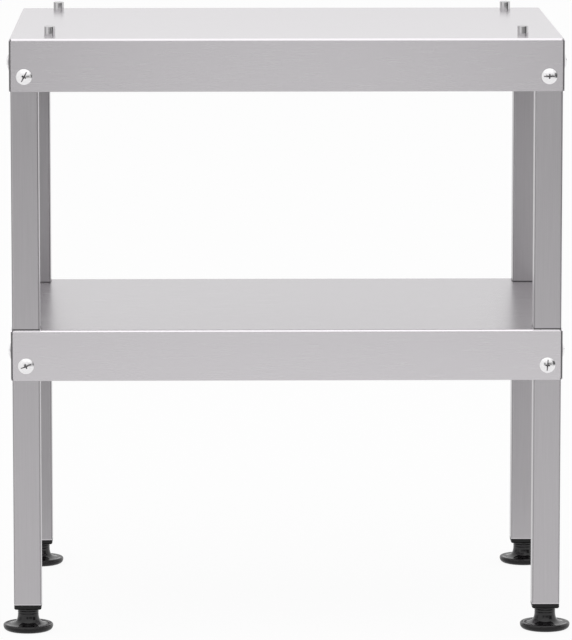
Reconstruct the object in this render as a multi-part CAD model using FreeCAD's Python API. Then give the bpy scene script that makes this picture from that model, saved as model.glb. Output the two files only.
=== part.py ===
import FreeCAD
import Part

import math
import os

# Outdoor pizza oven table: two folded sheet trays bolted to four square tube legs.
# Origin on the floor under the middle of the table. +Z is up, the front faces -Y.
# All lengths are in millimetres.

# Driving dimensions of the table
TABLE_WIDTH = 700.0
TABLE_DEPTH = 500.0
TABLE_HEIGHT = 760.0
SHELF_HEIGHT = 390.0

# Folded stainless sheet of the two trays
SHEET = 1.5
BEND_RADIUS = 3.0
TOP_APRON = 67.0
SHELF_APRON = 65.0
CORNER_SEAM = 0.4
LEAF_CORNER = 4.0
APRON_CORNER = 2.5
LEAF_DROP = 0.5
NOTCH_GAP = 1.0

# Square tube legs, from above the feet to just inside the top tray's bends
LEG_SIZE = 35.0
LEG_WALL = 1.5
LEG_CORNER = 2.5
LEG_BOTTOM = 35.0
LEG_TOP = TABLE_HEIGHT - BEND_RADIUS

# Round forms have flat facets: many on the feet, fewer on screw heads, fewest where nothing shows
FOOT_SIDES = 32
HEAD_SIDES = 20
HIDDEN_SIDES = 6
HEXAGON = 6

# M8 tray screws with wide domed heads, and the hexagonal rivet nuts that take them
SCREW_DIAMETER = 8.0
SCREW_LENGTH = 16.0
SCREW_HEAD_DIAMETER = 20.0
SCREW_HEAD_HEIGHT = 3.8
SCREW_HEAD_RIM = 0.9
SCREW_CROWN_DIAMETER = 9.0
SCREW_HOLE = 8.6
FRONT_SCREW_RISE = 19.0
SIDE_SCREW_RISE = 36.0
RIVET_NUT_ACROSS_FLATS = 11.0
RIVET_NUT_LENGTH = 16.0
RIVET_BULB_RADIUS = 8.0
RIVET_BULB_LENGTH = 4.0
THREAD_CLEARANCE = 0.05

# Pins that locate the oven on the top, with their washers and nuts below
PIN_SPACING_X = 600.0
PIN_SPACING_Y = 400.0
PIN_DIAMETER = 14.0
PIN_HEIGHT = 12.0
PIN_CHAMFER = 0.7
PIN_THREAD = 8.0
PIN_THREAD_LENGTH = 12.0
PIN_HOLE = 8.5
WASHER_DIAMETER = 16.0
WASHER_THICKNESS = 1.6
PIN_NUT_ACROSS_FLATS = 13.0
PIN_NUT_HEIGHT = 6.5

# Black plastic plug in each leg, with a threaded bush for the foot
COLLAR_SIZE = 34.6
COLLAR_HEIGHT = 6.0
COLLAR_CORNER = 2.0
COLLAR_CHAMFER = 1.2
PLUG_SIZE = 29.6
PLUG_HEIGHT = 26.0
PLUG_WALL = 2.0
PLUG_RIBS = 3
PLUG_RIB_HEIGHT = 1.6
PLUG_RIB_GAP = 0.15
BOSS_ACROSS_FLATS = 20.0
BUSH_ACROSS_FLATS = 15.0
BUSH_LENGTH = 16.0
BUSH_RISE = 4.0
FOOT_THREAD = 10.0
STEM_PASSAGE = 11.0

# Levelling foot: a threaded stem in a moulded saucer foot, screwed right in at rest
FOOT_GAP = 0.3
STEM_LENGTH = 68.0
STEM_BOTTOM = 9.0
NECK_RADIUS = 13.35
FLARE_RADIUS = 17.8
FLARE_BOTTOM = 11.0
FLARE_TOP = 19.0
SAUCER_RADIUS = 32.0
SAUCER_BASE_RADIUS = 24.5
SAUCER_WIDEST = 7.2
SAUCER_RIM_RADIUS = 29.6
SAUCER_RIM_HEIGHT = 9.2

# Values worked out from the driving dimensions
HALF_WIDTH = TABLE_WIDTH / 2
HALF_DEPTH = TABLE_DEPTH / 2
LEG_X = HALF_WIDTH - SHEET - LEG_SIZE / 2
LEG_Y = HALF_DEPTH - SHEET - LEG_SIZE / 2
TUBE_BORE = LEG_SIZE - 2 * LEG_WALL
COLLAR_BOTTOM = LEG_BOTTOM - COLLAR_HEIGHT
BUSH_BOTTOM = LEG_BOTTOM + BUSH_RISE
TOP_BOTTOM_EDGE = TABLE_HEIGHT - TOP_APRON
SHELF_BOTTOM_EDGE = SHELF_HEIGHT - SHELF_APRON

CORNERS = {
    "front_left": (-1, -1),
    "front_right": (1, -1),
    "rear_left": (-1, 1),
    "rear_right": (1, 1),
}
TRAY_EDGES = {"top": TOP_BOTTOM_EDGE, "shelf": SHELF_BOTTOM_EDGE}

Y_AXIS = FreeCAD.Vector(0, 1, 0)
Z_AXIS = FreeCAD.Vector(0, 0, 1)
TOUCHING = 1e-6


def block(x_range, y_range, z_range):
    """A box between two places on each axis."""
    low = FreeCAD.Vector(x_range[0], y_range[0], z_range[0])
    sizes = [high - start for start, high in (x_range, y_range, z_range)]
    return Part.makeBox(*sizes, low)


def edges_along(shape, axis):
    """The straight edges of a shape that run along an axis."""
    chosen = []
    for edge in shape.Edges:
        run = edge.Vertexes[-1].Point - edge.Vertexes[0].Point
        if run.cross(axis).Length < TOUCHING:
            chosen.append(edge)
    return chosen


def square_prism(size, corner, bottom, top, rounded=False):
    """An upright square prism about the Z axis, with its upright edges cut off or rounded."""
    half = size / 2
    square = block((-half, half), (-half, half), (bottom, top))
    upright = edges_along(square, Z_AXIS)
    return square.makeFillet(corner, upright) if rounded else square.makeChamfer(corner, upright)


def cylinder(diameter, bottom, top):
    """An upright cylinder about the Z axis."""
    return Part.makeCylinder(diameter / 2, top - bottom, FreeCAD.Vector(0, 0, bottom))


def level_ring(sides, radius, height):
    """The points of a closed level polygon about the Z axis, with its corners on a circle."""
    points = []
    for step in range(sides + 1):
        angle = math.tau * step / sides
        points.append(FreeCAD.Vector(radius * math.cos(angle), radius * math.sin(angle), height))
    return points


def flat_face(points):
    """A flat face inside a closed run of points."""
    return Part.Face(Part.makePolygon(points))


def prism(sides, across_flats, bottom, top):
    """An upright prism about the Z axis."""
    corner_radius = across_flats / 2 / math.cos(math.pi / sides)
    return flat_face(level_ring(sides, corner_radius, bottom)).extrude(Z_AXIS * (top - bottom))


def faceted(sides, outline):
    """A round form about the Z axis, with flat facets between (radius, height) levels."""
    rings = [level_ring(sides, radius, height) for radius, height in outline]
    faces = [flat_face(rings[0]), flat_face(rings[-1])]
    for lower, upper in zip(rings, rings[1:]):
        for step in range(sides):
            faces.append(flat_face([lower[step], lower[step + 1], upper[step + 1], upper[step],
                                    lower[step]]))
    shell = Part.makeShell(faces)
    shell.sewShape()
    return Part.makeSolid(shell)


def turned(outline):
    """A solid turned about the Z axis from a closed run of (radius, height) points."""
    points = [FreeCAD.Vector(radius, 0, height) for radius, height in outline]
    profile = Part.Face(Part.makePolygon(points + points[:1]))
    return profile.revolve(FreeCAD.Vector(), Z_AXIS, 360)


def arc(start, middle, end):
    """An arc through three (radius, height) points."""
    points = [FreeCAD.Vector(radius, 0, height) for radius, height in (start, middle, end)]
    return Part.Arc(*points).toShape()


def placed(shape, direction, place):
    """A copy whose Z axis points along a direction from a place."""
    copy = shape.copy()
    turn = FreeCAD.Rotation(Z_AXIS, FreeCAD.Vector(*direction))
    copy.Placement = FreeCAD.Placement(FreeCAD.Vector(*place), turn)
    return copy


def at_leg(shape, corner):
    """A copy of a shape about the Z axis, moved under one leg."""
    side, end = CORNERS[corner]
    return shape.translated(FreeCAD.Vector(side * LEG_X, end * LEG_Y, 0))


def write(name, *solids):
    """Write one node from its separate solids."""
    shape = solids[0] if len(solids) == 1 else Part.makeCompound(solids)
    shape.exportStep(os.path.join("parts", name + ".step"))


def channel_section(half, bottom, top):
    """A folded channel's section in the XZ plane: deck, two round bends and two flanges."""
    def bent_line(offset):
        reach = half - offset
        crown = top - offset
        radius = BEND_RADIUS - offset
        shoulder = reach - radius
        knee = crown - radius
        slant = radius * math.sqrt(0.5)
        right = arc((shoulder, crown), (shoulder + slant, knee + slant), (reach, knee))
        left = arc((-reach, knee), (-shoulder - slant, knee + slant), (-shoulder, crown))
        deck = Part.makeLine(FreeCAD.Vector(-shoulder, 0, crown), FreeCAD.Vector(shoulder, 0, crown))
        down = [Part.makeLine(FreeCAD.Vector(side * reach, 0, knee),
                              FreeCAD.Vector(side * reach, 0, bottom)) for side in (-1, 1)]
        return [down[0], left, deck, right, down[1]]

    feet = [Part.makeLine(FreeCAD.Vector(side * half, 0, bottom),
                          FreeCAD.Vector(side * (half - SHEET), 0, bottom)) for side in (-1, 1)]
    edges = bent_line(0) + bent_line(SHEET) + feet
    return Part.Face(Part.Wire(Part.__sortEdges__(edges)))


def folded_channel(half, half_length, bottom, top):
    """A folded channel along Y, as long as the deck between its neighbours' bends."""
    section = channel_section(half, bottom, top)
    return section.extrude(Y_AXIS * (2 * half_length)).translated(Y_AXIS * -half_length)


def flange_leaf(half_length, face, bottom, top, radius, free_top):
    """A flat leaf along X whose outer face is at y = -face, with its free corners rounded."""
    leaf = block((-half_length, half_length), (-face, SHEET - face), (bottom, top))
    corners = [edge for edge in edges_along(leaf, Y_AXIS)
               if free_top or edge.Vertexes[0].Z < top - SHEET]
    return leaf.makeFillet(radius, corners)


def both_sides(shape):
    """A shape and its copy turned half round the Z axis."""
    other = shape.copy()
    other.rotate(FreeCAD.Vector(), Z_AXIS, 180)
    return [shape, other]


def quarter_turned(shape):
    """A copy turned a quarter round the Z axis."""
    copy = shape.copy()
    copy.rotate(FreeCAD.Vector(), Z_AXIS, 90)
    return copy


def folded_tray(bottom, top):
    """A deck with four folded flanges, square bend reliefs and open corner seams."""
    inset = BEND_RADIUS
    sides = folded_channel(HALF_WIDTH, HALF_DEPTH - inset, bottom, top)
    ends = quarter_turned(folded_channel(HALF_DEPTH, HALF_WIDTH - inset, bottom, top))
    return sides.fuse(ends)


def corner_leaves(bottom, top, radius, free_top=False):
    """The flat leaves that carry the four flanges on to the corners of a tray."""
    front_half = HALF_WIDTH - SHEET - CORNER_SEAM
    front = flange_leaf(front_half, HALF_DEPTH, bottom, top, radius, free_top)
    side = quarter_turned(flange_leaf(HALF_DEPTH, HALF_WIDTH, bottom, top, radius, free_top))
    return both_sides(front) + both_sides(side)


def drill_tray(tray, bottom):
    """Cut the eight screw holes through a tray's flanges."""
    depth = 4 * SHEET
    drill = prism(HIDDEN_SIDES, SCREW_HOLE, -depth, depth)
    holes = [placed(drill, direction, place) for direction, place in screw_places(bottom)]
    return tray.cut(holes)


def screw_places(bottom, corners=CORNERS, front=True, side=True):
    """Inward direction and place on the tray's outer face, for each chosen screw."""
    places = []
    for name in corners:
        across, along = CORNERS[name]
        if front:
            place = (across * LEG_X, along * HALF_DEPTH, bottom + FRONT_SCREW_RISE)
            places.append(((0, -along, 0), place))
        if side:
            place = (across * HALF_WIDTH, along * LEG_Y, bottom + SIDE_SCREW_RISE)
            places.append(((-across, 0, 0), place))
    return places


def pin_places():
    """Where the four oven pins stand on the top."""
    return [(side * PIN_SPACING_X / 2, end * PIN_SPACING_Y / 2, TABLE_HEIGHT)
            for side, end in CORNERS.values()]


def make_top_panel():
    """The top tray: its flanges close over the ends of the legs."""
    tray = folded_tray(TOP_BOTTOM_EDGE, TABLE_HEIGHT)
    leaves = corner_leaves(TOP_BOTTOM_EDGE, TABLE_HEIGHT - BEND_RADIUS, APRON_CORNER)
    tray = drill_tray(tray.fuse(leaves), TOP_BOTTOM_EDGE)
    hole = prism(HIDDEN_SIDES, PIN_HOLE, -2 * SHEET, SHEET)
    return tray.cut([placed(hole, Z_AXIS, place) for place in pin_places()]).removeSplitter()


def make_shelf_panel():
    """The shelf tray: square notches let the legs through, and its leaves stand free there."""
    knee = SHELF_HEIGHT - BEND_RADIUS
    notch_x = LEG_X - LEG_SIZE / 2 - NOTCH_GAP
    notch_y = LEG_Y - LEG_SIZE / 2 - NOTCH_GAP
    tray = folded_tray(SHELF_BOTTOM_EDGE, SHELF_HEIGHT)
    notches = [block(sorted((side * notch_x, side * HALF_WIDTH)),
                     sorted((end * notch_y, end * HALF_DEPTH)),
                     (knee, SHELF_HEIGHT)) for side, end in CORNERS.values()]
    tray = tray.cut(notches)
    leaves = corner_leaves(SHELF_BOTTOM_EDGE, SHELF_HEIGHT - LEAF_DROP, LEAF_CORNER, free_top=True)
    middle = [block((-notch_x, notch_x), (-HALF_DEPTH, HALF_DEPTH), (knee, SHELF_HEIGHT)),
              block((-HALF_WIDTH, HALF_WIDTH), (-notch_y, notch_y), (knee, SHELF_HEIGHT))]
    leaves = [leaf.cut(middle) for leaf in leaves]
    return drill_tray(tray.fuse(leaves), SHELF_BOTTOM_EDGE).removeSplitter()


def rivet_nut():
    """A hexagonal rivet nut set flush in a tube wall, along +Z from the tube's outer face."""
    barrel = RIVET_NUT_ACROSS_FLATS / math.sqrt(3)
    bulb_end = LEG_WALL + RIVET_BULB_LENGTH
    nut = faceted(HEXAGON, [
        (barrel, 0), (barrel, LEG_WALL), (RIVET_BULB_RADIUS, (LEG_WALL + bulb_end) / 2),
        (barrel, bulb_end), (barrel, RIVET_NUT_LENGTH),
    ])
    return nut.cut(prism(HIDDEN_SIDES, SCREW_DIAMETER + 2 * THREAD_CLEARANCE, 0, RIVET_NUT_LENGTH))


def wall_places(corner):
    """The four places on one leg's outer faces where screws enter it."""
    places = []
    for bottom in TRAY_EDGES.values():
        for direction, place in screw_places(bottom, [corner]):
            inward = [step * SHEET for step in direction]
            places.append((direction, [at + move for at, move in zip(place, inward)]))
    return places


def make_leg(corner):
    """One square tube leg with its four rivet nut holes."""
    outer = square_prism(LEG_SIZE, LEG_CORNER, LEG_BOTTOM, LEG_TOP, rounded=True)
    bore = square_prism(TUBE_BORE, LEG_CORNER - LEG_WALL, LEG_BOTTOM, LEG_TOP)
    tube = at_leg(outer.cut(bore), corner)
    hole = prism(HEXAGON, RIVET_NUT_ACROSS_FLATS, -LEG_WALL, 2 * LEG_WALL)
    return tube.cut([placed(hole, direction, place) for direction, place in wall_places(corner)])


def make_screw():
    """A tray screw along +Z, with its wide low head below z = 0."""
    head = SCREW_HEAD_DIAMETER / 2
    crown = SCREW_CROWN_DIAMETER / 2
    dome = faceted(HEAD_SIDES, [(crown, -SCREW_HEAD_HEIGHT), (head, -SCREW_HEAD_RIM), (head, 0)])
    return dome.fuse(prism(HIDDEN_SIDES, SCREW_DIAMETER, 0, SCREW_LENGTH))


def make_pin():
    """An oven pin standing on z = 0, with its thread below."""
    radius = PIN_DIAMETER / 2
    pin = turned([
        (0, 0), (radius, 0), (radius, PIN_HEIGHT - PIN_CHAMFER),
        (radius - PIN_CHAMFER, PIN_HEIGHT), (0, PIN_HEIGHT),
    ])
    return pin.fuse(prism(HIDDEN_SIDES, PIN_THREAD, -PIN_THREAD_LENGTH, 0))


def make_pin_washer():
    """The washer under the top sheet, below a pin at z = 0."""
    top = -SHEET
    bottom = top - WASHER_THICKNESS
    disc = prism(HEAD_SIDES, WASHER_DIAMETER, bottom, top)
    return disc.cut(prism(HIDDEN_SIDES, PIN_HOLE, bottom, top))


def make_pin_nut():
    """The hexagon nut below the washer of a pin at z = 0."""
    top = -SHEET - WASHER_THICKNESS
    bottom = top - PIN_NUT_HEIGHT
    bore = prism(HIDDEN_SIDES, PIN_THREAD + 2 * THREAD_CLEARANCE, bottom, top)
    return prism(HEXAGON, PIN_NUT_ACROSS_FLATS, bottom, top).cut(bore)


def make_collar():
    """The part of a leg plug that shows below the leg, with its lower edges taken off."""
    collar = square_prism(COLLAR_SIZE, COLLAR_CORNER, COLLAR_BOTTOM, LEG_BOTTOM)
    lower_edges = [edge for edge in collar.Edges
                   if all(abs(vertex.Z - COLLAR_BOTTOM) < TOUCHING for vertex in edge.Vertexes)]
    return collar.makeChamfer(COLLAR_CHAMFER, lower_edges)


def make_plug():
    """The black plug: a square collar under the leg and a ribbed hollow body inside it."""
    top = LEG_BOTTOM + PLUG_HEIGHT
    inside = (PLUG_WALL - PLUG_SIZE / 2, PLUG_SIZE / 2 - PLUG_WALL)
    outside = (-PLUG_SIZE / 2, PLUG_SIZE / 2)
    pitch = (PLUG_HEIGHT - PLUG_RIB_HEIGHT) / PLUG_RIBS
    ribs = []
    for step in range(1, PLUG_RIBS + 1):
        low = LEG_BOTTOM + step * pitch - PLUG_RIB_HEIGHT / 2
        ribs.append(square_prism(TUBE_BORE - 2 * PLUG_RIB_GAP, LEG_CORNER - LEG_WALL,
                                 low, low + PLUG_RIB_HEIGHT))
    shell = block(outside, outside, (LEG_BOTTOM, top)).fuse(ribs)
    shell = shell.cut(block(inside, inside, (LEG_BOTTOM + PLUG_WALL, top)))
    boss = prism(HIDDEN_SIDES, BOSS_ACROSS_FLATS, LEG_BOTTOM, top)
    web = (-PLUG_WALL / 2, PLUG_WALL / 2)
    webs = [block(inside, web, (LEG_BOTTOM, top)), block(web, inside, (LEG_BOTTOM, top))]
    pocket = prism(HEXAGON, BUSH_ACROSS_FLATS, BUSH_BOTTOM, BUSH_BOTTOM + BUSH_LENGTH)
    bore = prism(HIDDEN_SIDES, STEM_PASSAGE, COLLAR_BOTTOM, top)
    return make_collar().fuse([shell, boss] + webs).cut([pocket, bore]).removeSplitter()


def make_bush():
    """The hexagonal threaded bush moulded into the plug's boss."""
    top = BUSH_BOTTOM + BUSH_LENGTH
    bore = cylinder(FOOT_THREAD + 2 * THREAD_CLEARANCE, BUSH_BOTTOM, top)
    return prism(HEXAGON, BUSH_ACROSS_FLATS, BUSH_BOTTOM, top).cut(bore)


def make_stem():
    """The foot's threaded stem, from inside the saucer up into the leg."""
    return cylinder(FOOT_THREAD, STEM_BOTTOM, STEM_BOTTOM + STEM_LENGTH)


def make_foot_base():
    """The moulded foot: a round neck that flares into a saucer with a raised rim."""
    neck_top = COLLAR_BOTTOM - FOOT_GAP
    foot = faceted(FOOT_SIDES, [
        (SAUCER_BASE_RADIUS, 0), (SAUCER_RADIUS, SAUCER_WIDEST),
        (SAUCER_RIM_RADIUS, SAUCER_RIM_HEIGHT), (FLARE_RADIUS, FLARE_BOTTOM),
        (NECK_RADIUS, FLARE_TOP), (NECK_RADIUS, neck_top),
    ])
    return foot.cut(cylinder(FOOT_THREAD + 2 * THREAD_CLEARANCE, STEM_BOTTOM, neck_top))


def write_panels_and_legs():
    write("top_panel", make_top_panel())
    write("shelf_panel", make_shelf_panel())
    nut = rivet_nut()
    for corner in CORNERS:
        write("leg_" + corner, make_leg(corner))
        nuts = [placed(nut, direction, place) for direction, place in wall_places(corner)]
        write("rivet_nuts_" + corner, *nuts)


def write_screws():
    """Two screws to a node: one node for each face of each tray."""
    screw = make_screw()
    faces = {
        "front": (("front_left", "front_right"), True),
        "rear": (("rear_left", "rear_right"), True),
        "left": (("front_left", "rear_left"), False),
        "right": (("front_right", "rear_right"), False),
    }
    for tray, bottom in TRAY_EDGES.items():
        for face, (corners, is_front) in faces.items():
            places = screw_places(bottom, corners, front=is_front, side=not is_front)
            write(f"{tray}_screws_{face}", *[placed(screw, *place) for place in places])


def write_pins():
    """The four pins, their washers and their nuts, each kind in one node."""
    pieces = {"oven_pins": make_pin(), "pin_washers": make_pin_washer(), "pin_nuts": make_pin_nut()}
    for name, piece in pieces.items():
        write(name, *[placed(piece, Z_AXIS, place) for place in pin_places()])


def write_feet():
    plug = make_plug()
    bush = make_bush()
    stem = make_stem()
    base = make_foot_base()
    write("leg_plugs", *[at_leg(plug, corner) for corner in CORNERS])
    write("plug_bushes", *[at_leg(bush, corner) for corner in CORNERS])
    for corner in CORNERS:
        write("foot_stem_" + corner, at_leg(stem, corner))
        write("foot_base_" + corner, at_leg(base, corner))


os.makedirs("parts", exist_ok=True)
write_panels_and_legs()
write_screws()
write_pins()
write_feet()
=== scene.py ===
import math

import bmesh
import bpy
from mathutils import Matrix, Vector


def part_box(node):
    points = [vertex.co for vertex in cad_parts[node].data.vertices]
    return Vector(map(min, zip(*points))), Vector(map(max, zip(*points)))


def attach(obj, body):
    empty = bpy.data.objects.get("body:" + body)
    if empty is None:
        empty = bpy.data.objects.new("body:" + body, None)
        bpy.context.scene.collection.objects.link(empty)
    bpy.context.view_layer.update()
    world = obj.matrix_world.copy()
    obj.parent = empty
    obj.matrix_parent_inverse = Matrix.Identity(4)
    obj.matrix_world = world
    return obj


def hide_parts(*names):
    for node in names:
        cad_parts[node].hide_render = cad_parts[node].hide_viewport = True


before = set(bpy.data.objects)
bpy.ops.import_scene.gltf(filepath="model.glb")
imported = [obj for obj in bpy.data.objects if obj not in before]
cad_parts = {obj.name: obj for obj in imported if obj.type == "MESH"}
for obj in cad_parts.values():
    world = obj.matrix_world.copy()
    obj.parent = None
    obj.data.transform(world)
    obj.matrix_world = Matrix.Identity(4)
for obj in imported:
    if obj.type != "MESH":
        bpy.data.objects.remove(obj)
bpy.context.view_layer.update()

# Outdoor pizza oven table. The frame gives every place. The front faces -Y and the floor is z = 0.
# Screws, pins and feet are in millimetres. All else is in metres.
MM = 0.001
CORNERS = {
    "front_left": (-1, -1),
    "front_right": (1, -1),
    "rear_left": (-1, 1),
    "rear_right": (1, 1),
}
UP = Vector((0, 0, 1))
# The way into the table from each side
SIDES = {"front": (0, 1, 0), "rear": (0, -1, 0), "left": (1, 0, 0), "right": (-1, 0, 0)}

# Turned forms: steps in a full turn, and millimetres between points that are merged
PLAIN_STEPS = 48
HEAD_STEPS = 64
FOOT_STEPS = 72
STEM_STEPS = 40
MERGE_GAP = 1e-4
# Edges shorter than this, in millimetres, are cleared away after cutting
SLIVER = 1e-3
# Edges are sharp from this angle, in degrees
SHARP_ANGLE = 32

# Tray screws: a low domed head with a slot and a short cross, and a plain neck above the thread
HEAD_RADIUS = 10.0
HEAD_HEIGHT = 3.8
HEAD_RIM = 0.9
HEAD_EDGE = 0.35
DOME_STEPS = 8
SHANK_RADIUS = 4.0
SHANK_LENGTH = 16.0
SHANK_NECK = 1.0
SLOT_WIDTH = 1.5
SLOT_DEPTH = 1.4
CROSS_LENGTH = 9.4
CROSS_WIDTH = 2.7
CROSS_DEPTH = 3.2
CROSS_TAPER = 0.35
RECESS_SINK = 0.12
SCREW_THREAD = 1.25
# Depth of a thread for each millimetre of its pitch
THREAD_DEPTH = 0.6

# How far each front screw's slot is turned from level, in degrees; the rest follow a steady step
SLOT_TURNS = {
    ("top", "front", -1): 62.0,
    ("top", "front", 1): 0.0,
    ("shelf", "front", -1): 22.0,
    ("shelf", "front", 1): 85.0,
}
SLOT_TURN_STEP = 47.0

# Oven pins, with the washer and nut below the sheet
SHEET_THICKNESS = 1.5
PIN_RADIUS = 7.0
PIN_HEIGHT = 12.0
PIN_ROUNDING = 0.9
PIN_STUD_RADIUS = 4.0
PIN_STUD_LENGTH = 12.0
PIN_STUD_NECK = 0.2
WASHER_RADIUS = 8.0
WASHER_BORE = 4.25
WASHER_THICKNESS = 1.6
WASHER_ROUNDING = 0.3
NUT_ACROSS_FLATS = 13.0
NUT_HEIGHT = 6.5
NUT_CHAMFER = 1.1
NUT_FACE_INSET = 0.2

# Levelling feet
RIM_BOTTOM = 6.6
FLARE_TOP = 20.0
NECK_RADIUS = 13.35
NECK_TOP = 28.7
NECK_GROOVES = (22.6, 26.0)
GROOVE_WIDTH = 1.3
GROOVE_DEPTH = 0.45
BRIM_ROUNDING = 0.6
FOOT_BORE = 5.05
STEM_RADIUS = 5.0
STEM_BOTTOM = 9.0
STEM_TOP = 77.0
STEM_THREAD = 1.5
# The foot's underside, rolled rim, dish and flare, each with its start, bend and end as
# (radius, height) and its number of steps
FOOT_CURVES = (
    ((26.5, 0), (31.6, 1.2), (32, RIM_BOTTOM), 8),
    ((32, RIM_BOTTOM), (32, 9.2), (29.0, 9.1), 6),
    ((29.0, 9.1), (24.5, 7.4), (17.8, 10.6), 6),
    ((17.8, 10.6), (13.9, 12.6), (NECK_RADIUS, FLARE_TOP), 8),
)

# Marks on the trays. Corner seams and bends start at these distances from the middle on X and Y,
# and a bend's band of painted highlight lies at these depths below its deck.
TABLE_TOP = 0.76
SHELF_TOP = 0.39
SEAM_START = (0.3478, 0.2492)
BEND_START = (0.3472, 0.2472)
BEND_HIGHLIGHT_DEPTHS = (0.0028, 0.0001)
# A distance from the middle that is past the whole table
PAST_ALL = 1.0

# Painted marks on the legs: distances of their centres from the middle on X and Y, how far from a
# centre a rounded corner with painted shade lies, heights of the painted shadow line at the
# shelf's leaves, and the top of the painted highlight on the lower end
LEG_CENTRE = (0.331, 0.231)
LEG_ROUNDING = (0.0159, 0.0176)
SHELF_SHADOW_LINE = (0.3893, 0.3912)
LIT_END_TOP = 0.0362

# Brightness of that painted shade and highlight, a corner's shade as a share of its tube's
CORNER_SHADE_SHARE = 0.7
SHELF_SHADOW_LEVEL = 0.13
LIT_END_LEVEL = 0.62

# Steel is this share as bright in green as in red and blue
GREEN_SHARE = 0.967

# Brushed grain: noise of a scale, drawn out along one axis, and the middle range of any noise
GRAIN_SCALE = 1800
GRAIN_STRETCH = 0.01
NOISE_MIDDLE = (0.3, 0.7)

# Camera, placed and turned in degrees so that the decks, legs and feet fall where the photograph
# has them
CAMERA_PLACE = (-0.097, -6.707, 1.302)
CAMERA_DOWN = 7.93
CAMERA_RIGHT = 0.85
CAMERA_LENS = 289.3
CAMERA_SENSOR = 36
CAMERA_REACH = 200

WORLD_LIGHT = 0.8

# Softboxes: place, size in metres and power in watts. They point at the middle of the table.
SOFTBOXES = {
    "overhead": ((0, 0.2, 3.4), (4.4, 3.8), 11),
    "front_high": ((0, -2.2, 2.8), (4.0, 2.4), 6),
}
SOFTBOX_TARGET = Vector((0, 0, 0.4))

# Flags that stand round the table to shape its reflections: azimuth from the front in degrees,
# distance, width, lowest and highest edge in metres and brightness
FLAGS = {
    "front_left": (-14, 4.2, 0.86, 0, 1.2, 0.09),
    "front_middle": (0, 4.2, 1.2, 0, 1.0, 0.68),
    "front_right": (25, 4.2, 2.5, 0, 1.2, 0.28),
    "right": (60, 3.0, 1.5, 0, 1.6, 0.08),
    "left": (-97, 3.0, 2.8, 0, 1.2, 0.60),
    "rear": (180, 4.2, 5.0, 0.55, 1.12, 0.60),
}

# Floor: its reach from the middle, how far it lies under the feet, its paint and its glow
FLOOR_REACH = 40
FLOOR_DROP = 0.0003
FLOOR_PAINT = 0.92
FLOOR_GLOW = 0.93


def curve(start, bend, end, steps):
    """Points along a curve from start to end, pulled towards a bend point."""
    points = []
    for step in range(steps + 1):
        t = step / steps
        points.append(tuple((1 - t) ** 2 * a + 2 * t * (1 - t) * b + t * t * c
                            for a, b, c in zip(start, bend, end)))
    return points


def thread_outline(radius, pitch, bottom, top):
    """The zigzag outline of a thread between two heights."""
    root = radius - THREAD_DEPTH * pitch
    turns = int((top - bottom) / pitch)
    points = []
    for turn in range(turns):
        low = bottom + turn * pitch
        points += [(root, low), (radius, low + pitch / 2)]
    return points + [(root, bottom + turns * pitch)]


def spun(outline, steps=PLAIN_STEPS):
    """A form turned about the Z axis from (radius, height) points."""
    bm = bmesh.new()
    verts = [bm.verts.new((radius, 0, height)) for radius, height in outline]
    edges = [bm.edges.new(pair) for pair in zip(verts, verts[1:])]
    bmesh.ops.spin(bm, geom=verts + edges, cent=(0, 0, 0), axis=UP, angle=math.tau, steps=steps,
                   use_merge=True)
    bmesh.ops.remove_doubles(bm, verts=bm.verts, dist=MERGE_GAP)
    bmesh.ops.recalc_face_normals(bm, faces=bm.faces)
    return bm


def brick(size, centre):
    """A box of a size about a centre."""
    bm = bmesh.new()
    bmesh.ops.create_cube(bm, size=1)
    bmesh.ops.scale(bm, vec=size, verts=bm.verts)
    bmesh.ops.translate(bm, vec=centre, verts=bm.verts)
    return bm


def tapered_wing(length, width, depth, taper):
    """A cutter that narrows along +Z, for one wing of a cross recess that starts at z = 0."""
    bm = brick((length, width, 2 * depth), (0, 0, 0))
    deep = [vert for vert in bm.verts if vert.co.z > 0]
    bmesh.ops.scale(bm, vec=(taper, taper, 1), verts=deep)
    return bm


def linked(name, contents):
    """An object with its contents, linked to the scene."""
    thing = bpy.data.objects.new(name, contents)
    bpy.context.scene.collection.objects.link(thing)
    return thing


def plain_object(name, bm):
    """A mesh object made from a bmesh, which is used up."""
    mesh = bpy.data.meshes.new(name)
    bm.to_mesh(mesh)
    bm.free()
    return linked(name, mesh)


def carved(bm, shapes, operation="DIFFERENCE"):
    """A bmesh with other bmeshes cut out of it, or only what it shares with them."""
    body = plain_object("blank", bm)
    tools = [plain_object("cutter", shape) for shape in shapes]
    for tool in tools:
        cut = body.modifiers.new("cut", "BOOLEAN")
        cut.operation = operation
        cut.object = tool
    evaluated = body.evaluated_get(bpy.context.evaluated_depsgraph_get())
    result = bmesh.new()
    result.from_mesh(evaluated.to_mesh())
    bmesh.ops.dissolve_degenerate(result, dist=SLIVER, edges=result.edges)
    for thing in [body] + tools:
        bpy.data.objects.remove(thing)
    return result


def piece(name, form, place, finishes, body, node):
    """A piece made from a form in millimetres, riding on a body and standing for a frame's node.

    Its faces take the finish that their material index names.
    """
    bm = form.copy()
    bmesh.ops.scale(bm, vec=(MM, MM, MM), verts=bm.verts)
    bmesh.ops.transform(bm, matrix=place, verts=bm.verts)
    made = plain_object(name, bm)
    for finish in finishes:
        made.data.materials.append(finish)
    made.data.polygons.foreach_set("use_smooth", [True] * len(made.data.polygons))
    made.data.set_sharp_from_angle(angle=math.radians(SHARP_ANGLE))
    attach(made, body)
    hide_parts(node)


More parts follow.
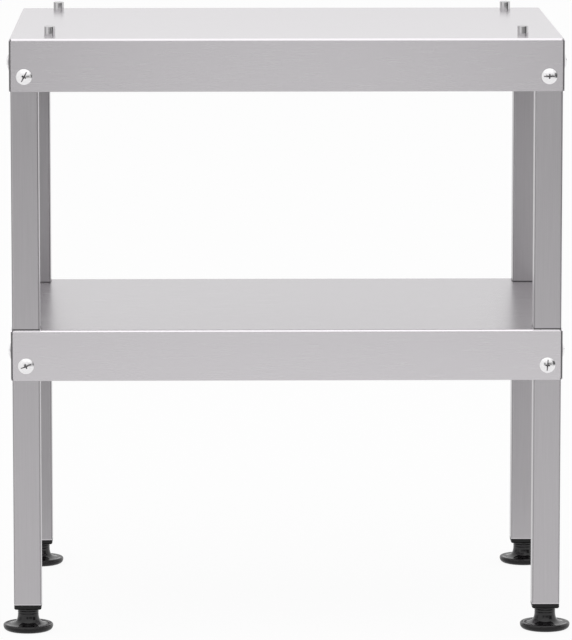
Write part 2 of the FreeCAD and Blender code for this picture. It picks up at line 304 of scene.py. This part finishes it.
class Finish:
    """A material whose patterns are laid out in metres on a piece's own coordinates."""

    def __init__(self, name, metallic, specular=0.5):
        self.material = bpy.data.materials.new(name)
        self.material.use_nodes = True
        self.nodes = self.material.node_tree.nodes
        self.links = self.material.node_tree.links
        self.shader = self.nodes["Principled BSDF"]
        self.shader.inputs["Metallic"].default_value = metallic
        self.shader.inputs["Specular IOR Level"].default_value = specular
        self.coordinates = self.nodes.new("ShaderNodeTexCoord").outputs["Object"]

    def pattern(self, stretch, scale, detail=3.0):
        """Noise, drawn out along the axes that have a small stretch."""
        mapping = self.nodes.new("ShaderNodeMapping")
        mapping.inputs["Scale"].default_value = stretch
        noise = self.nodes.new("ShaderNodeTexNoise")
        noise.inputs["Scale"].default_value = scale
        noise.inputs["Detail"].default_value = detail
        self.links.new(self.coordinates, mapping.inputs["Vector"])
        self.links.new(mapping.outputs["Vector"], noise.inputs["Vector"])
        return noise.outputs["Fac"]

    def spread(self, factor, low, high):
        """A pattern's middle range, spread between two values."""
        node = self.nodes.new("ShaderNodeMapRange")
        node.inputs["From Min"].default_value = NOISE_MIDDLE[0]
        node.inputs["From Max"].default_value = NOISE_MIDDLE[1]
        node.inputs["To Min"].default_value = low
        node.inputs["To Max"].default_value = high
        self.links.new(factor, node.inputs["Value"])
        return node.outputs["Result"]

    def calculate(self, operation, *values):
        """The result of one sum on sockets and plain numbers."""
        node = self.nodes.new("ShaderNodeMath")
        node.operation = operation
        for value, socket in zip(values, node.inputs):
            if isinstance(value, float):
                socket.default_value = value
            else:
                self.links.new(value, socket)
        return node.outputs[0]

    def within(self, limits):
        """1 where a piece's distance from each axis, or from a line beside it, is within limits,
        else 0."""
        parts = self.nodes.new("ShaderNodeSeparateXYZ")
        self.links.new(self.coordinates, parts.inputs["Vector"])
        inside = None
        for axis, low, high, *beside in limits:
            away = self.calculate("ABSOLUTE", parts.outputs[axis])
            for line in beside:
                away = self.calculate("ABSOLUTE", self.calculate("SUBTRACT", away, line))
            for test, limit in (("GREATER_THAN", low), ("LESS_THAN", high)):
                passed = self.calculate(test, away, limit)
                inside = self.calculate("MULTIPLY", inside, passed) if inside else passed
        return inside

    def colour(self, factor, dark, light):
        """Base colour between two colours."""
        mix = self.nodes.new("ShaderNodeMix")
        mix.data_type = "RGBA"
        mix.inputs["A"].default_value = (*dark, 1)
        mix.inputs["B"].default_value = (*light, 1)
        self.links.new(self.spread(factor, 0, 1), mix.inputs["Factor"])
        self.links.new(mix.outputs["Result"], self.shader.inputs["Base Color"])

    def mark(self, limits, colour):
        """Another base colour within limits."""
        mix = self.nodes.new("ShaderNodeMix")
        mix.data_type = "RGBA"
        base = self.shader.inputs["Base Color"]
        self.links.new(self.within(limits), mix.inputs["Factor"])
        self.links.new(base.links[0].from_socket, mix.inputs["A"])
        mix.inputs["B"].default_value = (*colour, 1)
        self.links.new(mix.outputs["Result"], base)

    def brushing(self, along, turned=None, limits=()):
        """Brushing along one axis, and where limits are given, along another within them."""
        stretch = [GRAIN_STRETCH if axis == along else 1 for axis in "XYZ"]
        grain = self.pattern(stretch, GRAIN_SCALE)
        if turned:
            mix = self.nodes.new("ShaderNodeMix")
            self.links.new(self.within(limits), mix.inputs["Factor"])
            self.links.new(grain, mix.inputs["A"])
            self.links.new(self.brushing(turned), mix.inputs["B"])
            grain = mix.outputs["Result"]
        return grain

    def roughness(self, factor, low, high):
        """Roughness between two values."""
        self.links.new(self.spread(factor, low, high), self.shader.inputs["Roughness"])

    def relief(self, factor, depth):
        """Surface relief of a depth in metres."""
        bump = self.nodes.new("ShaderNodeBump")
        bump.inputs["Strength"].default_value = 1.0
        bump.inputs["Distance"].default_value = depth
        self.links.new(factor, bump.inputs["Height"])
        self.links.new(bump.outputs["Normal"], self.shader.inputs["Normal"])


def tone(level):
    """A steel colour of a brightness, a little short of green."""
    return (level, level * GREEN_SHARE, level)


def satin_steel(name, brushing, level, contrast, roughness, relief, marks):
    """Brushed stainless steel, with marks given as their limits and colour."""
    finish = Finish(name, metallic=1.0)
    grain = finish.brushing(*brushing)
    finish.colour(grain, tone(level - contrast), tone(level + contrast))
    for limits, colour in marks:
        finish.mark(limits, colour)
    finish.roughness(grain, *roughness)
    finish.relief(grain, relief)
    return finish.material


def sheet_steel(name, top, level, bend_highlight_level, seam_shade_level):
    """The sheet of a tray: its grain folds down with its ends, its bends carry a painted highlight
    and its cut corners are duller, with painted shade of the gap between the leaves."""
    fold = [("X", SEAM_START[0], PAST_ALL)]
    seam = fold + [("Y", SEAM_START[1], PAST_ALL)]
    highlight_band = ("Z", *[top - depth for depth in BEND_HIGHLIGHT_DEPTHS])
    # A band of painted highlight along each bend
    marks = [([highlight_band, (axis, start, PAST_ALL)], tone(bend_highlight_level))
             for axis, start in zip("XY", BEND_START)]
    # Painted shade in the corner seams, over cut ends that are duller
    marks.append((seam, tone(seam_shade_level)))
    return satin_steel(name, ("X", "Z", fold), level, contrast=0.010, roughness=(0.265, 0.275),
                       relief=1e-7, marks=marks)


def tube_steel(name, level):
    """A leg's tube: painted shade on its rounded corners, a painted shadow line where it passes
    the shelf's leaves, and a painted highlight on its lower end."""
    # Painted shade on the corners, a painted shadow line at the shelf, a painted highlight at the
    # end
    corner = [(axis, *LEG_ROUNDING, centre) for axis, centre in zip("XY", LEG_CENTRE)]
    marks = [
        (corner, tone(CORNER_SHADE_SHARE * level)),
        ([("Z", *SHELF_SHADOW_LINE)], tone(SHELF_SHADOW_LEVEL)),
        ([("Z", 0.0, LIT_END_TOP)], tone(LIT_END_LEVEL)),
    ]
    return satin_steel(name, "Z", level, contrast=0.018, roughness=(0.29, 0.335), relief=4e-7,
                       marks=marks)


def plated_steel(name, dark, light, roughness):
    """Plated steel with faint handling marks; its dark copy in the screws' recesses is painted
    shade.
    """
    finish = Finish(name, metallic=1.0)
    marks = finish.pattern((1, 1, 1), scale=420, detail=4)
    finish.colour(marks, dark, light)
    finish.roughness(marks, *roughness)
    finish.relief(marks, depth=6e-6)
    return finish.material


def turned_steel(name, dark, light, roughness):
    """Lathe-turned steel, with fine level rings."""
    finish = Finish(name, metallic=1.0)
    rings = finish.pattern((0.02, 0.02, 1), scale=2600, detail=2)
    finish.colour(rings, dark, light)
    finish.roughness(rings, *roughness)
    finish.relief(rings, depth=3e-6)
    return finish.material


def moulded_plastic(name, dark, light, roughness, sheen):
    """Black moulded plastic with a fine grain and slightly uneven sheen."""
    finish = Finish(name, metallic=0.0, specular=sheen)
    grain = finish.pattern((1, 1, 1), scale=1500, detail=2)
    cloud = finish.pattern((1, 1, 1), scale=70, detail=3)
    finish.colour(cloud, dark, light)
    finish.roughness(cloud, *roughness)
    finish.relief(grain, depth=1.5e-5)
    return finish.material


# The top and shelf are one steel: the top's sheet is painted lighter and the shelf's darker, as
# painted light and shade, and the shelf's bend has the brighter painted highlight
TOP_SHEET = sheet_steel("top_sheet", TABLE_TOP, level=0.71, bend_highlight_level=0.83, seam_shade_level=0.30)
SHELF_SHEET = sheet_steel("shelf_sheet", SHELF_TOP, level=0.66, bend_highlight_level=0.95, seam_shade_level=0.20)
TUBE = tube_steel("satin_tube", level=0.49)
# The rear legs' tubes are darker copies of the same tube, as painted shade under the trays
REAR_RIGHT_SHADED_TUBE = tube_steel("rear_right_shaded_tube", level=0.46)
REAR_LEFT_SHADED_TUBE = tube_steel("rear_left_shaded_tube", level=0.415)
BRIGHT = plated_steel("bright_screw", (0.82, 0.81, 0.82), (0.90, 0.89, 0.90),
                      roughness=(0.14, 0.26))
# The screws' slot and cross recess, darkened as painted shade
RECESS_SHADE = plated_steel("screw_recess", (0.20, 0.19, 0.20), (0.26, 0.25, 0.26),
                      roughness=(0.35, 0.45))
ZINC = plated_steel("zinc_plate", (0.55, 0.56, 0.58), (0.66, 0.67, 0.68), roughness=(0.25, 0.42))
TURNED = turned_steel("turned_pin", (0.52, 0.51, 0.52), (0.58, 0.57, 0.58), roughness=(0.07, 0.13))
BRASS = turned_steel("brass_bush", (0.60, 0.43, 0.16), (0.68, 0.50, 0.21), roughness=(0.22, 0.32))
BLACK = moulded_plastic("black_moulding", (0.008, 0.007, 0.008), (0.012, 0.011, 0.012),
                        roughness=(0.08, 0.14), sheen=0.44)
MATT_BLACK = moulded_plastic("matt_black", (0.010, 0.009, 0.010), (0.014, 0.013, 0.014),
                             roughness=(0.30, 0.42), sheen=0.22)
COLLAR = moulded_plastic("black_collar", (0.004, 0.004, 0.004), (0.007, 0.007, 0.007),
                         roughness=(0.40, 0.50), sheen=0.3)


def dress_cad_nodes():
    """Give the nodes that stay their finishes: the last one whose start a name has."""
    finishes = {
        "top_panel": TOP_SHEET, "shelf_panel": SHELF_SHEET, "leg_": TUBE,
        "leg_rear_left": REAR_LEFT_SHADED_TUBE, "leg_rear_right": REAR_RIGHT_SHADED_TUBE, "leg_plugs": COLLAR,
        "rivet_nuts": ZINC, "plug_bushes": BRASS,
    }
    for name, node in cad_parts.items():
        for start, finish in finishes.items():
            if name.startswith(start):
                node.data.materials.clear()
                node.data.materials.append(finish)


def screw_form():
    """A tray screw along +Z with its head below z = 0."""
    rise = HEAD_HEIGHT - HEAD_RIM
    dome_radius = (rise ** 2 + HEAD_RADIUS ** 2) / (2 * rise)
    half_angle = math.asin(HEAD_RADIUS / dome_radius)
    centre = dome_radius - HEAD_HEIGHT
    dome = []
    for step in range(DOME_STEPS + 1):
        angle = half_angle * step / DOME_STEPS
        dome.append((dome_radius * math.sin(angle), centre - dome_radius * math.cos(angle)))
    edge = curve(dome[-1], (HEAD_RADIUS, -HEAD_RIM), (HEAD_RADIUS, HEAD_EDGE - HEAD_RIM), 2)
    thread = thread_outline(SHANK_RADIUS, SCREW_THREAD, SHANK_NECK, SHANK_LENGTH)
    outline = (dome[:-1] + edge[1:] + [(HEAD_RADIUS, 0), (SHANK_RADIUS, 0)] + thread
               + [(0, thread[-1][1])])
    cutters = [
        brick((3 * HEAD_RADIUS, SLOT_WIDTH, 2 * SLOT_DEPTH), (0, 0, 0)),
        tapered_wing(CROSS_LENGTH, CROSS_WIDTH, CROSS_DEPTH, CROSS_TAPER),
        tapered_wing(CROSS_WIDTH, CROSS_LENGTH, CROSS_DEPTH, CROSS_TAPER),
    ]
    for cutter in cutters:
        bmesh.ops.translate(cutter, vec=(0, 0, -HEAD_HEIGHT), verts=cutter.verts)
    screw = carved(spun(outline, HEAD_STEPS), cutters)
    # The faces inside the slot and cross take the painted shade
    for face in screw.faces:
        middle = face.calc_center_median()
        radius = math.hypot(middle.x, middle.y)
        surface = centre - math.sqrt(dome_radius ** 2 - min(radius, HEAD_RADIUS) ** 2)
        if radius < HEAD_RADIUS and surface + RECESS_SINK < middle.z < -RECESS_SINK:
            face.material_index = 1
    return screw


def facing(inward, place, turn):
    """A place whose Z axis points inward and whose X axis is turned from level."""
    across = inward.cross(UP)
    slot = across * math.cos(turn) + UP * math.sin(turn)
    turned = Matrix((slot, inward.cross(slot), inward)).transposed().to_4x4()
    return Matrix.Translation(place) @ turned


def screw_seats(node, inward):
    """Both ends of a node's pair of screws, each with the place where its head meets the tray."""
    low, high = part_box(node)
    along = inward.cross(UP)
    reach = abs((high - low).dot(along)) / 2 - HEAD_RADIUS * MM
    depth = abs((high - low).dot(inward)) / 2 - HEAD_HEIGHT * MM
    middle = (low + high) / 2 - inward * depth
    return [(end, middle + along * (end * reach)) for end in (-1, 1)]


def add_tray_screws():
    """The sixteen tray screws, two on each face of each tray."""
    form = screw_form()
    count = 0
    for tray in ("top", "shelf"):
        for side, way_in in SIDES.items():
            inward = Vector(way_in)
            node = f"{tray}_screws_{side}"
            for end, place in screw_seats(node, inward):
                count += 1
                turn = SLOT_TURNS.get((tray, side, end), SLOT_TURN_STEP * count)
                hand = "left" if end < 0 else "right"
                piece(f"{tray}_screw_{side}_{hand}", form,
                      facing(inward, place, math.radians(turn)), [BRIGHT, RECESS_SHADE], "table", node)


def pin_form():
    """An oven pin on z = 0 with its threaded stud below."""
    stud = thread_outline(PIN_STUD_RADIUS, SCREW_THREAD, -PIN_STUD_LENGTH, -PIN_STUD_NECK)
    shoulder = curve((PIN_RADIUS, PIN_HEIGHT - PIN_ROUNDING), (PIN_RADIUS, PIN_HEIGHT),
                     (PIN_RADIUS - PIN_ROUNDING, PIN_HEIGHT), 4)
    return spun([(0, -PIN_STUD_LENGTH)] + stud + [(PIN_STUD_RADIUS, 0), (PIN_RADIUS, 0)]
                + shoulder + [(0, PIN_HEIGHT)])


def washer_form():
    """A plain washer under the sheet, with its lower edge a little rounded."""
    high = -SHEET_THICKNESS
    low = high - WASHER_THICKNESS
    edge = curve((WASHER_RADIUS - WASHER_ROUNDING, low), (WASHER_RADIUS, low),
                 (WASHER_RADIUS, low + WASHER_ROUNDING), 3)
    outline = [(WASHER_BORE, high), (WASHER_BORE, low)] + edge + [(WASHER_RADIUS, high)]
    return spun(outline + outline[:1])


def nut_form():
    """A hexagon nut under the washer, with its corners turned off."""
    high = -SHEET_THICKNESS - WASHER_THICKNESS
    low = high - NUT_HEIGHT
    corner = NUT_ACROSS_FLATS / math.sqrt(3)
    face = NUT_ACROSS_FLATS / 2 - NUT_FACE_INSET
    bore = PIN_STUD_RADIUS
    outline = [(bore, high), (bore, low), (face, low), (corner, low + NUT_CHAMFER),
               (corner, high - NUT_CHAMFER), (face, high)]
    hexagon = bmesh.new()
    bmesh.ops.create_cone(hexagon, cap_ends=True, segments=6, radius1=corner, radius2=corner,
                          depth=2 * NUT_HEIGHT)
    bmesh.ops.translate(hexagon, vec=(0, 0, (high + low) / 2), verts=hexagon.verts)
    return carved(spun(outline + outline[:1]), [hexagon], "INTERSECT")


def add_oven_pins():
    """The four oven pins, each with its washer and nut under the sheet."""
    kinds = {
        "oven_pin": (pin_form(), TURNED, "oven_pins", "turned_steel"),
        "pin_washer": (washer_form(), ZINC, "pin_washers", "zinc_steel"),
        "pin_nut": (nut_form(), ZINC, "pin_nuts", "zinc_steel"),
    }
    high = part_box("oven_pins")[1]
    out = (high.x - PIN_RADIUS * MM, high.y - PIN_RADIUS * MM)
    sheet_top = high.z - PIN_HEIGHT * MM
    for corner, (side, end) in CORNERS.items():
        place = Matrix.Translation((side * out[0], end * out[1], sheet_top))
        for kind, (form, finish, node, slot) in kinds.items():
            piece(f"{kind}_{corner}", form, place, [finish], "table", node)


def foot_outline():
    """The moulded foot: underside, rolled rim, dish, flare and a neck with two grooves."""
    points = [(0, 0), FOOT_CURVES[0][0]]
    for bent in FOOT_CURVES:
        points += curve(*bent)[1:]
    for height in NECK_GROOVES:
        points += curve((NECK_RADIUS, height - GROOVE_WIDTH / 2),
                        (NECK_RADIUS - 2 * GROOVE_DEPTH, height),
                        (NECK_RADIUS, height + GROOVE_WIDTH / 2), 4)
    points += curve((NECK_RADIUS, NECK_TOP - BRIM_ROUNDING), (NECK_RADIUS, NECK_TOP),
                    (NECK_RADIUS - BRIM_ROUNDING, NECK_TOP), 3)
    return points + [(FOOT_BORE, NECK_TOP), (FOOT_BORE, STEM_BOTTOM), (0, STEM_BOTTOM)]


def add_feet():
    """The four moulded feet, matt below the rim, and their threaded stems."""
    foot = spun(foot_outline(), FOOT_STEPS)
    for face in foot.faces:
        if face.calc_center_median().z < RIM_BOTTOM:
            face.material_index = 1
    thread = thread_outline(STEM_RADIUS, STEM_THREAD, STEM_BOTTOM, STEM_TOP)
    stem = spun([(0, STEM_BOTTOM)] + thread + [(0, thread[-1][1])], STEM_STEPS)
    for corner in CORNERS:
        low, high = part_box("foot_base_" + corner)
        place = Matrix.Translation(((low.x + high.x) / 2, (low.y + high.y) / 2, 0))
        piece("moulded_foot_" + corner, foot, place, [BLACK, MATT_BLACK], "foot_" + corner,
              "foot_base_" + corner)
        piece("threaded_stem_" + corner, stem, place, [ZINC], "stem_" + corner,
              "foot_stem_" + corner)


def add_camera():
    """The camera, pitched down without a shift."""
    camera = bpy.data.cameras.new("camera")
    camera.sensor_width = CAMERA_SENSOR
    camera.lens = CAMERA_LENS
    camera.clip_end = CAMERA_REACH
    holder = linked("camera", camera)
    holder.location = CAMERA_PLACE
    holder.rotation_euler = (math.radians(90 - CAMERA_DOWN), 0, math.radians(-CAMERA_RIGHT))
    bpy.context.scene.camera = holder


def seen_rays(nodes, links):
    """1 for rays from the camera or by way of gloss or glass, else 0."""
    path = nodes.new("ShaderNodeLightPath")
    total = path.outputs["Is Camera Ray"]
    for name in ("Is Glossy Ray", "Is Transmission Ray"):
        most = nodes.new("ShaderNodeMath")
        most.operation = "MAXIMUM"
        links.new(total, most.inputs[0])
        links.new(path.outputs[name], most.inputs[1])
        total = most.outputs[0]
    return total


def add_world():
    """White where it is seen, a softer light where it lights."""
    world = bpy.data.worlds.new("studio")
    world.use_nodes = True
    bpy.context.scene.world = world
    nodes, links = world.node_tree.nodes, world.node_tree.links
    light = nodes["Background"]
    light.inputs["Color"].default_value = (1, 1, 1, 1)
    light.inputs["Strength"].default_value = WORLD_LIGHT
    seen = nodes.new("ShaderNodeBackground")
    seen.inputs["Color"].default_value = (1, 1, 1, 1)
    mix = nodes.new("ShaderNodeMixShader")
    links.new(seen_rays(nodes, links), mix.inputs["Fac"])
    links.new(light.outputs[0], mix.inputs[1])
    links.new(seen.outputs[0], mix.inputs[2])
    links.new(mix.outputs[0], nodes["World Output"].inputs["Surface"])


def bare_material(name):
    """A material with nothing but its output, then its nodes and its links."""
    material = bpy.data.materials.new(name)
    material.use_nodes = True
    nodes, links = material.node_tree.nodes, material.node_tree.links
    nodes.remove(nodes["Principled BSDF"])
    return material, nodes, links


def add_floor():
    """A wide white floor that keeps a soft shadow."""
    material, nodes, links = bare_material("white_floor")
    matt = nodes.new("ShaderNodeBsdfDiffuse")
    matt.inputs["Color"].default_value = (FLOOR_PAINT, FLOOR_PAINT, FLOOR_PAINT, 1)
    glow = nodes.new("ShaderNodeEmission")
    share = nodes.new("ShaderNodeMath")
    share.operation = "MULTIPLY"
    share.inputs[1].default_value = FLOOR_GLOW
    mix = nodes.new("ShaderNodeMixShader")
    links.new(seen_rays(nodes, links), share.inputs[0])
    links.new(share.outputs[0], mix.inputs["Fac"])
    links.new(matt.outputs[0], mix.inputs[1])
    links.new(glow.outputs[0], mix.inputs[2])
    links.new(mix.outputs[0], nodes["Material Output"].inputs["Surface"])
    bm = bmesh.new()
    bmesh.ops.create_grid(bm, x_segments=1, y_segments=1, size=FLOOR_REACH)
    bmesh.ops.translate(bm, vec=(0, 0, -FLOOR_DROP), verts=bm.verts)
    floor = plain_object("floor", bm)
    floor.data.materials.append(material)


def flag_form(azimuth, distance, width, bottom, top):
    """An upright card that faces the table from an azimuth."""
    bm = bmesh.new()
    upright = Matrix.Rotation(math.radians(90), 3, "X")
    around = Matrix.Rotation(math.radians(azimuth), 3, "Z")
    bmesh.ops.create_grid(bm, x_segments=1, y_segments=1, size=0.5)
    bmesh.ops.scale(bm, vec=(width, top - bottom, 1), verts=bm.verts)
    bmesh.ops.rotate(bm, cent=(0, 0, 0), matrix=upright, verts=bm.verts)
    bmesh.ops.translate(bm, vec=(0, -distance, (bottom + top) / 2), verts=bm.verts)
    bmesh.ops.rotate(bm, cent=(0, 0, 0), matrix=around, verts=bm.verts)
    return bm


def add_flags():
    """The grey cards round the table, which only reflections show."""
    for name, (*shape, brightness) in FLAGS.items():
        shade, nodes, links = bare_material(name + "_shade")
        glow = nodes.new("ShaderNodeEmission")
        glow.inputs["Strength"].default_value = brightness
        links.new(glow.outputs[0], nodes["Material Output"].inputs["Surface"])
        card = plain_object(name + "_flag", flag_form(*shape))
        card.data.materials.append(shade)
        card.visible_camera = False
        card.visible_diffuse = False
        card.visible_shadow = False


def add_softboxes():
    """The area lamps, which the camera doesn't see."""
    for name, (place, size, power) in SOFTBOXES.items():
        lamp = bpy.data.lights.new(name, "AREA")
        lamp.shape = "RECTANGLE"
        lamp.size, lamp.size_y = size
        lamp.energy = power
        holder = linked(name, lamp)
        holder.location = place
        aim = SOFTBOX_TARGET - Vector(place)
        holder.rotation_euler = aim.to_track_quat("-Z", "Y").to_euler()
        holder.visible_camera = False


dress_cad_nodes()
add_tray_screws()
add_oven_pins()
add_feet()
add_camera()
add_world()
add_floor()
add_flags()
add_softboxes()

bpy.context.scene.view_settings.view_transform = "Standard"
